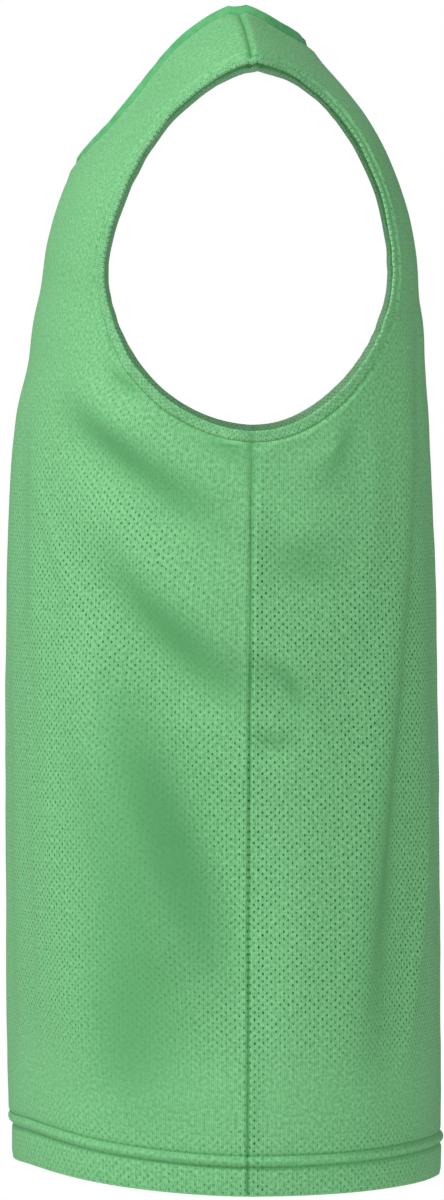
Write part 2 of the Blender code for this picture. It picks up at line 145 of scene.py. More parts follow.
FOLD_POINTS = 33  # points that a fold's line is worked out at
FOLD_HANG = 1.7  # how far the cloth hangs over a fold, in half widths
FOLD_END = 0.06  # how shallow a fold is at its ends, as a share of half a turn
# The same share of lift also sets how deep the painted shade along each fold is.
FOLD_SHUTS = 9.0  # millimetres of lift at which a fold pulls the eyelets shut
FOLD_MOST = 0.9  # the most that one fold shuts them
# The unevenness of cloth that nothing pulls taut: waves a metre, height, and a start.
SLACK = ((17.0, 0.0006, (0, 0, 0)), (55.0, 0.00025, (7, 3, 1)))

# How strongly painted shade darkens the grooves: at the hem's lower and upper row, the
# side seam and the shoulder seam, with half the width of each line.
SEAM_SHADE = {"low": 0.7, "high": 0.45, "side": 0.42, "shoulder": 0.9}
SEAM_SHADE_REACH = {"hem": 0.0012, "side": 0.0012, "shoulder": 0.0013}

# How far the eyelets stand open.  Places are millimetres up from the hem or round the
# body, and each is followed by its width, and by the share that it adds or takes there.
OPEN, OPEN_LEAST = 0.90, 0.05
CHEST = {"front": 380, "back": 335}  # above this the chest draws them shut
CHEST_CLOSES = (150, 0.66)
HEM_CLOSES = (56, 32, 0.75)  # just above the hem, where the cloth is smooth
HEM_CLOSES_FROM, HEM_CLOSES_TO = (20, 90), (-8, 24)  # from the middle to the side seam
PUFF_CLOSES = (4.0, 0.7)  # between the hem's two rows
TURN_CLOSES = (2.5, 0.3)  # in the turned-up hem
SEAM_OPENS, SEAM_OPENS_TO = (6.5, 3.6, 0.55), (380, 60)  # behind the side seam
SEAM_SMOOTH = 0.7  # share of that which the smooth cloth above the hem takes off
BACK_OPENS = (230, 60, 0.12)  # toward the back's middle
SIDE_CLOSES, SIDE_CLOSES_FROM = (12, 30, 0.5), (250, 100)  # before the side seam

LEVEL_SECTIONS = (
    # height, half_width, front, back, front_round, back_round
    (-0.717, 0.2050, 0.1460, 0.1200, 2.16, 2.40),
    (-0.648, 0.2045, 0.1466, 0.1207, 2.20, 2.42),
    (-0.548, 0.2035, 0.1477, 0.1198, 2.25, 2.46),
    (-0.438, 0.2025, 0.1479, 0.1183, 2.28, 2.52),
    (-0.358, 0.2015, 0.1472, 0.1170, 2.30, 2.60),
    (-0.288, 0.2000, 0.1448, 0.1148, 2.30, 2.80),
    (-0.248, 0.1990, 0.1414, 0.1126, 2.35, 2.95),
    (-0.208, 0.1985, 0.1330, 0.1100, 2.40, 3.10),
)
LEANING_SECTIONS = (
    # lean, half_width, front, back, front_round, back_round
    (15, 0.2000, 0.1316, 0.1112, 2.40, 3.20),
    (30, 0.2060, 0.1397, 0.1212, 2.35, 3.20),
    (45, 0.2170, 0.1532, 0.1372, 2.30, 3.10),
    (60, 0.2340, 0.1655, 0.1585, 2.30, 2.85),
    (72, 0.2530, 0.1840, 0.1785, 2.30, 2.55),
    (82, 0.2660, 0.2045, 0.2012, 2.30, 2.35),
    (90, 0.2715, 0.2152, 0.2152, 2.30, 2.30),
)

# Folds, in millimetres.  Each follows a bowed line: round the body from the front's
# middle, the wearer's left positive, and up from the hem; bow is how far the line's
# middle is pushed to its left.  depth is that of a trough along the line, or a ridge's
# where negative, and lift is how far the cloth to the line's left stands over that to
# its right, as it hangs over the fold.
FOLDS = (
    # round, up, to_round, to_up, bow, half_width, depth, lift
    # on the wearer's left, as the photograph shows them
    (154, 475, 254, 406, 4, 12, 2.4, 7.6),
    (231, 483, 273, 435, 2, 7, 1.8, 4.2),
    (192, 386, 272, 300, -3, 14, 2.8, 10.0),
    (195, 305, 256, 131, 1, 16, 3.0, -15.5),
    (196, 142, 206, 52, 1, 22, 2.0, -6.0),
    (196, 275, 222, 60, 0, 32, 1.0, -6.0),
    (114, 432, 185, 323, 3, 5, -1.7, 0.0),
    (91, 358, 127, 72, 14, 5, -1.7, 0.0),
    (106, 410, 140, 112, 14, 14, -1.6, 0.0),
    (444, 480, 368, 93, -6, 19, 2.0, -12.5),
    (467, 254, 406, 73, 3, 8, -3.0, 0.0),
    (370, 463, 349, 336, 5, 10, -2.4, 0.0),
    (345, 466, 324, 433, 3, 7, 2.0, -5.0),
    (287, 392, 334, 381, -3, 14, 1.2, 4.0),
    (281, 323, 312, 288, 7, 6, 2.2, 5.4),
    (281, 281, 298, 273, -2, 5, 1.8, 3.4),
    (330, 348, 310, 120, 4, 16, -1.4, 0.0),
    (74, 690, 122, 722, -2, 7, 1.4, 2.2),
    (98, 650, 130, 694, 3, 6, 1.0, 1.4),
    (188, 498, 215, 483, 0, 6, 1.6, 3.4),
    # on the right
    (-152, 467, -248, 402, -3, 12, 2.4, -6.4),
    (-230, 474, -268, 434, 2, 7, 1.4, -2.0),
    (-190, 382, -272, 304, 4, 14, 2.6, -8.0),
    (-192, 296, -250, 140, -3, 19, 2.8, 13.0),
    (-206, 150, -214, 50, 0, 21, 2.0, 5.0),
    (-118, 420, -178, 330, -3, 4, -0.8, 0.0),
    (-108, 380, -142, 92, -12, 14, -1.6, 0.0),
    (-440, 488, -358, 100, 6, 14, 1.6, 8.8),
    (-460, 262, -410, 80, -3, 8, -2.6, 0.0),
    (-338, 462, -322, 430, -2, 7, 1.8, 3.0),
    (-283, 340, -312, 298, -4, 7, 1.6, -3.6),
    (-70, 686, -118, 716, 2, 7, 1.4, -1.8),
    # down the front and the back
    (52, 340, 66, 72, 5, 15, 1.8, 1.2),
    (-40, 402, -64, 113, -6, 15, 1.6, -1.2),
    (88, 466, 104, 340, 3, 12, 1.4, 1.4),
    (-84, 484, -98, 370, -3, 12, 1.3, -1.4),
    (498, 484, 512, 144, -6, 15, 1.8, 1.6),
    (-506, 443, -490, 99, 5, 15, 1.8, -1.6),
    (470, 536, 482, 412, 4, 10, 1.2, 1.0),
    (-466, 576, -478, 452, -4, 10, 1.1, -1.0),
)


# ---------------------------------------------------------------- the worn form


def smooth_curve(at, values, where):
    """Reads a smooth curve through a table's points, which it never overshoots."""
    step = np.diff(at)
    rise = np.diff(values) / step
    turns = rise[:-1] * rise[1:] <= 0
    both = np.where(turns, 1.0, rise[:-1] + rise[1:])
    inner = np.where(turns, 0.0, 2 * rise[:-1] * rise[1:] / both)
    slope = np.concatenate([rise[:1], inner, rise[-1:]])
    i = np.clip(np.searchsorted(at, where) - 1, 0, len(step) - 1)
    t = np.clip((where - at[i]) / step[i], 0.0, 1.0)
    eased = t * t * (3 - 2 * t)
    start, end = slope[i] * step[i], slope[i + 1] * step[i]
    bend = start * t * (1 - t) ** 2 - end * t * t * (1 - t)
    return values[i] * (1 - eased) + values[i + 1] * eased + bend


def run_of_sections():
    """Every section in one run, up the front, over the shoulder and down the back."""
    front, back = [], []
    for height, half_width, fore, aft, fore_round, aft_round in LEVEL_SECTIONS:
        front.append((height - CHEST_LINE, half_width, fore, fore_round))
        back.append((height - CHEST_LINE, half_width, aft, aft_round))
    for lean, half_width, fore, aft, fore_round, aft_round in LEANING_SECTIONS:
        along = LEAN_RADIUS * math.radians(lean)
        front.append((along, half_width, fore, fore_round))
        back.append((along, half_width, aft, aft_round))
    behind = [(2 * SHOULDER - along, *sizes) for along, *sizes in back[-2::-1]]
    return np.array(front + behind).T


RUN, *SECTION_SIZES = run_of_sections()
TYPICAL_ROUND = 2.4


def girth_by_angle(count=400):
    """How far round a typical quarter section each angle is: share, angle, length."""
    angle = np.linspace(0, math.pi / 2, count)
    x = LEVEL_SECTIONS[3][1] * np.sin(angle) ** (2 / TYPICAL_ROUND)
    y = np.mean(LEVEL_SECTIONS[3][2:4]) * np.cos(angle) ** (2 / TYPICAL_ROUND)
    length = np.concatenate([[0], np.cumsum(np.hypot(np.diff(x), np.diff(y)))])
    return length / length[-1], angle, length[-1]


GIRTH_SHARE, GIRTH_ANGLE, QUARTER_GIRTH = girth_by_angle()
CHART_SIZE = (QUARTER_GIRTH, 1.0)  # turns (across, along) into metres of cloth


def section(along, side):
    """Half width, reach and exponent of the section at a place along a panel."""
    run = along if side < 0 else 2 * SHOULDER - along
    return [smooth_curve(RUN, sizes, run) for sizes in SECTION_SIZES]


def form(across, along, side):
    """A point of the smooth form.  side is -1 on the front and 1 on the back."""
    across, along = np.broadcast_arrays(np.asarray(across, float), np.asarray(along, float))
    half_width, reach, power = section(along, side)
    lean = np.clip(along, 0, SHOULDER) / LEAN_RADIUS
    angle = np.interp(np.abs(across), GIRTH_SHARE, GIRTH_ANGLE)
    x = np.sign(across) * half_width * np.sin(angle) ** (2 / power)
    r = reach * np.clip(np.cos(angle), 0, 1) ** (2 / power)
    y = side * r * np.cos(lean)
    z = CHEST_LINE + np.minimum(along, 0) + r * np.sin(lean)
    return np.stack([x, y, z], axis=-1)


def normals(across, along, side, step=1e-4):
    """Directions straight out of the form."""
    sign = np.where(np.asarray(across) < 0, -1.0, 1.0)
    inner = form(sign * np.clip(np.abs(across) - step, 0, 1), along, side)
    outer = form(sign * np.clip(np.abs(across) + step, 0, 1), along, side)
    low = form(across, np.maximum(along - step, -CHEST_TO_HEM), side)
    high = form(across, np.minimum(along + step, SHOULDER), side)
    out = np.cross((outer - inner) * sign[..., None], high - low) * -side
    return out / np.linalg.norm(out, axis=-1, keepdims=True)


def across_at(x, along, side):
    """How far across a panel the form is x from the middle."""
    half_width, _, power = section(along, side)
    angle = np.arcsin(np.clip(x / half_width, 0, 1) ** (power / 2))
    return np.interp(angle, GIRTH_ANGLE, GIRTH_SHARE)


def seen_from_side(y, z, side):
    """(across, along) of the place that shows at y, z from the wearer's left."""
    up, toward = z - CHEST_LINE, np.maximum(side * y, 0)
    along = np.where(up > 0, LEAN_RADIUS * np.arctan2(up, toward), up)
    r = np.where(up > 0, np.hypot(up, toward), toward)
    _, reach, power = section(along, side)
    angle = np.arccos(np.clip(r / reach, 0, 1) ** (power / 2))
    return np.interp(angle, GIRTH_ANGLE, GIRTH_SHARE), along


# ---------------------------------------------------------------- outlines of the cut


def armhole_edge(side, count=240):
    """A panel's armhole edge, from the underarm up to the shoulder."""
    sizes = ARMHOLE["front" if side < 0 else "back"]
    turn = np.linspace(0, math.pi, count)
    lower = turn < math.pi / 2
    power = np.where(lower, sizes["lower"], sizes["upper"])
    tall = np.where(lower, ARMHOLE_DOWN, ARMHOLE_UP)
    swing = np.cos(turn)
    y = ARMHOLE_Y + side * sizes["reach"] * np.sin(turn) ** (2 / power)
    z = ARMHOLE_Z - tall * np.sign(swing) * np.abs(swing) ** (2 / power)
    y = side * np.maximum(side * y, 0)
    across, along = seen_from_side(y, z, side)
    across[0], along[-1] = 1.0, SHOULDER
    return np.stack([across, along], axis=1)


def neck_edge(side, count=160):
    """A panel's neckline, from its middle to the neck point of the shoulder seam."""
    turn = np.linspace(0, math.pi / 2, count)
    lowest = FRONT_NECK_LEAN if side < 0 else BACK_NECK_LEAN
    rise = 1 - np.cos(turn) ** (2 / NECK_ROUND)
    along = LEAN_RADIUS * (lowest + (math.pi / 2 - lowest) * rise)
    x = NECK_POINT * np.sin(turn) ** (2 / NECK_ROUND)
    return np.stack([across_at(x, along, side), along], axis=1)


def spaced(line, side, quads):
    """Points along an outline at even steps of the cloth's own length."""
    points = form(line[:, 0], line[:, 1], side)
    steps = np.linalg.norm(np.diff(points, axis=0), axis=1)
    length = np.concatenate([[0], np.cumsum(steps)])
    wanted = np.linspace(0, length[-1], quads + 1)
    return np.stack([np.interp(wanted, length, line[:, k]) for k in (0, 1)], axis=1)


def straight(start, end, quads):
    return np.linspace(start, end, quads + 1)


# ---------------------------------------------------------------- relief of the cloth


def ease(value):
    """0 below 0, 1 above 1, and a smooth rise between."""
    value = np.clip(value, 0, 1)
    return value * value * (3 - 2 * value)


def groove(distance, reach=SEAM_REACH):
    """1 on a line, fading out beside it within about twice the reach."""
    return np.exp(-((distance / reach) ** 2))


def beside_folds(across, along, side):
    """For each fold: its depth and lift, how far places are from it in half widths, that
    counted to its left alone, and how much of the fold there is so far along it."""
    round_body = np.where(across < 0, -1, 1) * (2 - np.abs(across)) if side > 0 else across
    here = np.stack([round_body, along], axis=-1) * CHART_SIZE + (0, CHEST_TO_HEM)
    t = np.linspace(0, 1, FOLD_POINTS)[:, None]
    for *ends, bow, half_width, depth, lift in FOLDS:
        start, end = np.reshape(ends, (2, 2)) / 1000
        way = end - start
        left = np.array([-way[1], way[0]]) / np.hypot(*way)
        line = start + way * t + left * (bow / 1000) * 4 * t * (1 - t)
        apart = here[..., None, :] - line
        apart[..., 0] -= 4 * QUARTER_GIRTH * np.round(apart[..., 0] / (4 * QUARTER_GIRTH))
        distance = np.linalg.norm(apart, axis=-1)
        nearest = distance.argmin(axis=-1)
        fade = np.sin(math.pi * (FOLD_END + (1 - 2 * FOLD_END) * t[nearest, 0])) ** 0.7
        closest = np.take_along_axis(apart, nearest[..., None, None], axis=-2)[..., 0, :]
        share = distance.min(axis=-1) * 1000 / half_width
        leftward = np.clip(closest @ left * 1000 / half_width, -share, share)
        yield depth, lift, share, leftward, fade


def fold_relief(across, along, side):
    """Height of the folds over the form, at places on one panel."""
    relief = np.zeros(np.shape(across))
    for depth, lift, share, leftward, fade in beside_folds(across, along, side):
        hang = leftward * groove(share, FOLD_HANG)
        relief += fade * (lift * hang - depth * groove(share, 1)) / 1000
    return relief


def hem_relief(across, along, side):
    """The turned-up hem: two rows of stitches, a puff between them, a fold below."""
    up = along + CHEST_TO_HEM
    turned = 1 - ease((up - HEM_HEIGHT) / SWELL_FADE)
    rows = groove(up - HEM_STITCHES, ROW_REACH) + groove(up - HEM_HEIGHT, ROW_REACH)
    puff = groove(up - (HEM_STITCHES + HEM_HEIGHT) / 2, PUFF_REACH)
    fold = groove(up, PUFF_REACH)
    relief = HEM_SWELL * turned - STITCH_SINK * rows + HEM_RIDGE * puff - HEM_SWELL * fold
    if side < 0:
        middle = 1 - ease(np.abs(across) / TUCK_SHARE)
        relief = relief - FRONT_TUCK * middle * (1 - ease((up - TUCK_TOP) / TUCK_FADE))
    return relief


def distance_to(line, across, along):
    """Distance over the cloth from places to an outline."""
    line = line * CHART_SIZE
    here = np.stack([np.abs(across), along], axis=-1) * CHART_SIZE
    flat = here.reshape(-1, 2)
    near = np.full(len(flat), np.inf)
    for point in line:
        near = np.minimum(near, np.hypot(*(flat - point).T))
    return near.reshape(here.shape[:-1])


def seam_relief(across, along, side):
    """Grooves at the seams, and the allowances that lie under the cloth beside them."""
    to_side = (1 - np.abs(across)) * QUARTER_GIRTH
    to_shoulder = SHOULDER - along
    to_armhole = distance_to(armhole_edge(side), across, along)
    to_neck = distance_to(neck_edge(side), across, along)
    relief = np.zeros(np.shape(to_side))
    for distance in (to_side, to_shoulder, to_armhole, to_neck):
        relief -= SEAM_DIP * groove(distance)
        relief += SEAM_ROLL * groove(distance - ROLL_PLACE, ROLL_REACH)
    covering = [to_armhole, to_neck] + ([to_side, to_shoulder] if side > 0 else [])
    for distance in covering:
        fall = ease((distance - ALLOWANCE + ALLOWANCE_END) / ALLOWANCE_FADE)
        relief += ALLOWANCE_RISE * ease(distance / ALLOWANCE_SLOPE) * (1 - fall)
    return relief


def slack(points):
    """The small unevenness of cloth that nothing pulls taut."""
    places = [Vector(point) for point in points.reshape(-1, 3)]
    relief = np.zeros(points.shape[:-1])
    for waves, height, start in SLACK:
        values = [noise.noise(place * waves + Vector(start)) for place in places]
        relief += height * np.reshape(values, relief.shape)
    return relief


def sway(smooth, across, along):
    """How far the seams draw the cloth toward the back as they wander."""
    share = np.clip((np.abs(smooth[..., 0]) - NECK_POINT) / SHOULDER_WIDTH, 0, 1)
    shoulder = SHOULDER_SWAY[0] + (SHOULDER_SWAY[1] - SHOULDER_SWAY[0]) * share
    share = np.clip((along + CHEST_TO_HEM) / (CHEST_TO_HEM - SEAM_TOP), 0, 1)
    beside = SIDE_SWAY[0] + (SIDE_SWAY[1] - SIDE_SWAY[0]) * share
    near_shoulder = ease(1 - (SHOULDER - along) / SWAY_REACH)
    near_side = ease(1 - (1 - np.abs(across)) * QUARTER_GIRTH / SWAY_REACH)
    return shoulder * near_shoulder + beside * near_side


def cloth(across, along, side):
    """Points on the outside of the cloth, and the directions straight out there."""
    smooth = form(across, along, side)
    relief = fold_relief(across, along, side) + hem_relief(across, along, side)
    relief = relief + seam_relief(across, along, side) + slack(smooth)
    out = normals(across, along, side)
    points = smooth + out * relief[..., None]
    low = 1 - ease((along + CHEST_TO_HEM) / LIFT_HEIGHT)
    lift = FRONT_LIFT if side < 0 else BACK_LIFT
    low = low - HEM_DEEPER * (1 - ease((along + CHEST_TO_HEM) / HEM_HEIGHT))
    points[..., 2] += lift * low * ease((1 - np.abs(across)) / LIFT_SHARE)
    points[..., 1] += sway(smooth, across, along)
    return points, out


def pull(across, along, side):
    """How taut the folds draw the cloth, 0 to 1; the same share sets their painted shade."""
    slackness = np.ones(np.shape(across))
    for _, lift, apart, _, fade in beside_folds(across, along, side):
        slackness *= 1 - fade * min(abs(lift) / FOLD_SHUTS, FOLD_MOST) * groove(apart, 1)
    return 1 - slackness


def painted_seam_shade(across, along):
    """How strongly painted shade darkens the grooves of the seams and hem rows, 0 to 1."""
    up = along + CHEST_TO_HEM
    to_side = (1 - np.abs(across)) * QUARTER_GIRTH
    hem, side, shoulder = SEAM_SHADE_REACH.values()
    # Painted shade along each groove, over the cloth's colour.
    pressed = (
        SEAM_SHADE["low"] * groove(up - HEM_STITCHES, hem)
        + SEAM_SHADE["high"] * groove(up - HEM_HEIGHT, hem)
        + SEAM_SHADE["side"] * groove(to_side, side)
        + SEAM_SHADE["shoulder"] * groove(SHOULDER - along, shoulder)
    )
    return np.clip(pressed, 0, 1)


def beyond(place, start, width):
    """0 up to a place's start, and 1 from its width further on."""
    return ease((place - start) / width)


def openness(across, along, side):
    """How far the eyelets stand open, 0 to 1, as the cloth is pulled about."""
    up = (along + CHEST_TO_HEM) * 1000
    round_body = np.abs(across) * QUARTER_GIRTH * 1000
    to_side = QUARTER_GIRTH * 1000 - round_body
    width, taken = CHEST_CLOSES
    share = OPEN - taken * beyond(up, CHEST["front" if side < 0 else "back"], width)
    height, reach, taken = HEM_CLOSES
    low = groove(up - height, reach) * beyond(round_body, *HEM_CLOSES_FROM)
    low = low * beyond(to_side, *HEM_CLOSES_TO)
    share = share - taken * low
    puff = groove(up - (HEM_STITCHES + HEM_HEIGHT) * 500, PUFF_CLOSES[0])
    turned = 1 - beyond(up, HEM_STITCHES * 1000, TURN_CLOSES[0])
    share = share * (1 - PUFF_CLOSES[1] * puff) * (1 - TURN_CLOSES[1] * turned)
    if side > 0:
        step, reach, added = SEAM_OPENS
        row = added * groove(to_side - step, reach) * (1 - beyond(up, *SEAM_OPENS_TO))
        share = share + row * (1 - SEAM_SMOOTH * low)
        share = share + BACK_OPENS[2] * ease((BACK_OPENS[0] - round_body) / BACK_OPENS[1])
    else:
        step, reach, taken = SIDE_CLOSES
        share = share - taken * groove(to_side - step, reach) * beyond(up, *SIDE_CLOSES_FROM)
    share = share * (1 - pull(across, along, side))
    return np.clip(share, OPEN_LEAST, 1.0)


# ---------------------------------------------------------------- grids


def settle(place, sweeps):
    """Evens out a grid's inner points, so that its lines run smooth and none cross."""
    place *= CHART_SIZE
    for _ in range(sweeps):
        over = place[2:, 1:-1] - place[:-2, 1:-1]
        up = place[1:-1, 2:] - place[1:-1, :-2]
        over_size, up_size = (np.sum(way * way, axis=-1, keepdims=True) for way in (over, up))
        skew = np.sum(over * up, axis=-1, keepdims=True) / 2
        twist = place[2:, 2:] - place[:-2, 2:] - place[2:, :-2] + place[:-2, :-2]
        beside = place[2:, 1:-1] + place[:-2, 1:-1]
        along = place[1:-1, 2:] + place[1:-1, :-2]
        settled = up_size * beside + over_size * along - skew * twist
        place[1:-1, 1:-1] = settled / (2 * (over_size + up_size))
    place /= CHART_SIZE


def between_edges(place):
    """A grid's points worked out from its four edges."""
    u = np.linspace(0, 1, place.shape[0])[:, None, None]
    v = np.linspace(0, 1, place.shape[1])[None, :, None]
    low, high, first, last = place[:, :1], place[:, -1:], place[:1], place[-1:]
    corners = (first * (1 - u) + last * u)[:, [0, -1]]
    start = first * (1 - u) + last * u + low * (1 - v) + high * v
    return start - corners[:, :1] * (1 - v) - corners[:, 1:] * v


def doubled(grid):
    """A grid with a new point halfway between each two."""
    for axis in (0, 1):
        grid = np.repeat(np.moveaxis(grid, axis, 0), 2, axis=0)[:-1]
        grid[1::2] = (grid[:-1:2] + grid[2::2]) / 2
        grid = np.moveaxis(grid, 0, axis)
    return grid


def upper_grid(side, finer):
    """Places of half a panel's points above the hem, finer times the coarse ones."""
    counts = {name: quads * finer for name, quads in GRID.items()}
    neck = spaced(neck_edge(side), side, counts["neckline"])
    armhole = spaced(armhole_edge(side), side, counts["armhole"])
    columns = counts["neckline"] + counts["shoulder"]
    rows = counts["seam"] + counts["armhole"]
    hem_top = HEM_ROWS[-1] - CHEST_TO_HEM
    place = np.zeros((columns + 1, rows + 1, 2))
    place[:, 0] = straight((0, hem_top), (1, hem_top), columns)
    place[0] = straight((0, hem_top), neck[0], rows)
    place[-1, : counts["seam"] + 1] = straight((1, hem_top), armhole[0], counts["seam"])
    place[-1, counts["seam"] :] = armhole
    place[: counts["neckline"] + 1, -1] = neck
    place[counts["neckline"] :, -1] = straight(neck[-1], armhole[-1], counts["shoulder"])
    if finer > 1:
        start, sweeps = doubled(upper_grid(side, finer // 2)), FINER_SWEEPS
    else:
        start, sweeps = between_edges(place), SWEEPS
    place[1:-1, 1:-1] = start[1:-1, 1:-1]
    settle(place, sweeps)
    return place


def close_at_edge(grid, axis):
    """A grid with its last quads along an axis cut in four, as close as a seam is wide."""
    rows = np.moveaxis(grid, axis, 0)
    closer = [rows[-2] + (rows[-1] - rows[-2]) * share for share in (0.25, 0.5, 0.75)]
    return np.moveaxis(np.concatenate([rows[:-1], closer, rows[-1:]]), 0, axis)


def half_grid(side):
    """Places of the points of a panel's left half, from the hem's fold to the shoulder."""
    upper = upper_grid(side, FINER)
    level = np.linspace(0, 1, upper.shape[0])
    hem = np.array([[(across, up - CHEST_TO_HEM) for up in HEM_ROWS[:-1]] for across in level])
    return close_at_edge(close_at_edge(np.concatenate([hem, upper], axis=1), 0), 1)


HALVES = {side: half_grid(side) for side in (-1, 1)}
UNDERARM = len(HEM_ROWS) - 1 + GRID["seam"] * FINER  # the row that ends at the underarm
NECK_COLUMN = GRID["neckline"] * FINER  # the column that ends at the neck point


def cut_plan(side):
    """Lengths over the cloth on a chart grid: from the middle, and up from the hem."""
    across = np.linspace(0, 1, PLAN_POINTS[0])
    along = np.linspace(-CHEST_TO_HEM, SHOULDER, PLAN_POINTS[1])
    points = form(across[:, None], along[None, :], side)
    over = np.linalg.norm(np.diff(points, axis=0), axis=-1).cumsum(axis=0)
    up = np.linalg.norm(np.diff(points, axis=1), axis=-1).cumsum(axis=1)
    return np.pad(over, ((1, 0), (0, 0))), np.pad(up, ((0, 0), (1, 0)))


def flat_place(place, side):
    """Where points of a panel lie on the flat cloth, in metres."""
    plan = np.stack(cut_plan(side), axis=-1)
    sizes = np.array(plan.shape[:2]) - 1
    share = np.stack([np.abs(place[..., 0]), (place[..., 1] + CHEST_TO_HEM)], axis=-1)
    where = np.clip(share / (1, CHEST_TO_HEM + SHOULDER), 0, 1) * sizes
    low = np.minimum(where.astype(int), sizes - 1)
    (i, j), (s, t) = np.moveaxis(low, -1, 0), np.moveaxis(where - low, -1, 0)[..., None]
    first = plan[i, j] * (1 - t) + plan[i, j + 1] * t
    second = plan[i + 1, j] * (1 - t) + plan[i + 1, j + 1] * t
    flat = first * (1 - s) + second * s
    flat[..., 0] *= np.sign(place[..., 0])
    return flat


# ---------------------------------------------------------------- meshes


def add_piece(name, points, faces, flat, material, sharp=40):
    """Adds a smooth mesh whose UVs are places on the flat cloth, in metres."""
    mesh = bpy.data.meshes.new(name)
    mesh.from_pydata(points.tolist(), [], faces)
    mesh.materials.append(material)
    mesh.shade_smooth()
    mesh.set_sharp_from_angle(angle=math.radians(sharp))
    corner_points = np.zeros(len(mesh.loops), int)
    mesh.loops.foreach_get("vertex_index", corner_points)
    mesh.uv_layers.new(name="flat_cloth").data.foreach_set("uv", flat[corner_points].ravel())
    piece = bpy.data.objects.new(name, mesh)
    bpy.context.scene.collection.objects.link(piece)
    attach(piece, "root")
    return piece


def mark(piece, word, values):
    """Writes a value for each point of a piece, which its material reads by that word."""
    piece.data.attributes.new(word, "FLOAT", "POINT").data.foreach_set("value", values)


def tube_faces(count, corners, closed):
    """Quads round a tube of so many rings, whose last joins its first if it is closed."""
    rings = np.arange(count if closed else count - 1)
    i, k = np.meshgrid(rings, np.arange(corners), indexing="ij")
    following, beside = (i + 1) % count * corners, (k + 1) % corners
    i = i * corners
    around = [i + k, following + k, following + beside, i + beside]
    return np.stack(around, axis=-1).reshape(-1, 4)


def shell_faces(number, turned):
    """Faces of a shell: its numbered outside, the same inside it, and its edges."""
    corners = [number[:-1, :-1], number[1:, :-1], number[1:, 1:], number[:-1, 1:]]
    quads = np.stack(corners, axis=-1).reshape(-1, 4)
    edge = np.concatenate([number[:, 0], number[-1, 1:], number[-2::-1, -1], number[0, -2::-1]])
    if turned:
        quads, edge = quads[:, ::-1], edge[::-1]
    ends = np.stack([edge[1:], edge[:-1]], axis=1)
    sides = np.concatenate([ends, ends[:, ::-1] + number.size], axis=1)
    return np.concatenate([quads, quads[:, ::-1] + number.size, sides]).tolist()


def panel(name, side, material):
    """A panel as a shell of one layer of cloth, with its hem turned up inside it."""
    half = HALVES[side]
    place = np.concatenate([half[:0:-1] * (-1, 1), half])
    across, along = place[..., 0], place[..., 1]
    outside, out = cloth(across, along, side)
    up = along + CHEST_TO_HEM
    layers = 1 + (1 - ease((up - HEM_HEIGHT - TURN_TOP) / TURN_FADE)) * ease(up / TURN_START)
    inside = outside - out * CLOTH * layers[..., None]
    on_seam = (np.abs(across) > 1 - 1e-9) | (along > SHOULDER - 1e-9)
    wander = sway(form(across, along, side), across, along)
    for layer in (outside, inside):
        layer[..., 1] = np.where(on_seam, side * SEAM_GAP / 2 + wander, layer[..., 1])

    number = np.arange(on_seam.size).reshape(on_seam.shape)
    points = np.concatenate([outside.reshape(-1, 3), inside.reshape(-1, 3)])
    flat = np.tile(flat_place(place, side).reshape(-1, 2), (2, 1))
    piece = add_piece(name, points, shell_faces(number, side > 0), flat, material)
    # Painted shade along the folds, and in the seam grooves and hem rows.
    shade_share = 1 - (1 - pull(across, along, side)) * (1 - painted_seam_shade(across, along))
    mark(piece, "openness", np.tile(openness(across, along, side).ravel(), 2))
    mark(piece, "painted_shade", np.tile(shade_share.ravel(), 2))
    # Painted light: the inside, which shows only in shade, is painted paler, except under the
    # overlocked edges.
    pale = np.zeros(number.shape)
    pale[EDGE_ROWS:-EDGE_ROWS, :-EDGE_ROWS] = 1.0
    mark(piece, "inside_light", np.concatenate([np.zeros(number.size), pale.ravel()]))
    return piece


# ---------------------------------------------------------------- bindings


def edge_of_cloth(line, side, hand):
    """Points and directions out of the cloth along an edge, on the hand's half."""
    return np.stack(cloth(line[:, 0] * hand, line[:, 1], side))


def armhole_ring(hand):
    """The armhole's whole edge: up the front from the underarm and down the back."""
    front, back = (edge_of_cloth(HALVES[side][-1, UNDERARM:], side, hand) for side in (-1, 1))
    return np.concatenate([front, back[:, -2:0:-1]], axis=1)


def ring_round(front_line, back_line):
    """A closed line round both panels, from the front's middle by the wearer's left."""
    front, right_front = (edge_of_cloth(front_line, -1, hand) for hand in (1, -1))
    back, right_back = (edge_of_cloth(back_line, 1, hand) for hand in (1, -1))
    left = np.concatenate([front, back[:, -2::-1]], axis=1)
    return np.concatenate([left, right_back[:, 1:], right_front[:, -2:0:-1]], axis=1)


def neck_ring():
    """The neck's whole edge."""
    return ring_round(*(HALVES[side][: NECK_COLUMN + 1, -1] for side in (-1, 1)))


def level_ring(up):
    """The closed line round the body at a height of cloth above the hem's fold."""
    across = np.linspace(0, 1, 160)
    line = np.stack([across, np.full(across.size, up - CHEST_TO_HEM)], axis=1)
    return ring_round(line, line)


def length_round(points):
    """Length round a closed line up to each point, and its whole length."""
    steps = np.linalg.norm(np.roll(points, -1, axis=0) - points, axis=1)
    return np.concatenate([[0], np.cumsum(steps)[:-1]]), steps.sum()


def walk_round(ring, stations):
    """Points and directions of a ring at given lengths round it."""
    length, whole = length_round(ring[0])
    again = np.concatenate([length, [whole]])
    looped = np.concatenate([ring, ring[:, :1]], axis=1)
    return np.array([
        np.stack([np.interp(stations % whole, again, line[:, k]) for k in range(3)], axis=1)
        for line in looped
    ])


def away_from(points, out, inward):
    """Directions in the cloth, off its edge, toward the opening."""
    ahead = np.roll(points, -1, axis=0) - np.roll(points, 1, axis=0)
    away = np.cross(ahead, out)
    away /= np.linalg.norm(away, axis=1, keepdims=True)
    facing = np.sign(np.sum(away * (inward - points), axis=1).sum())
    return away * facing, facing


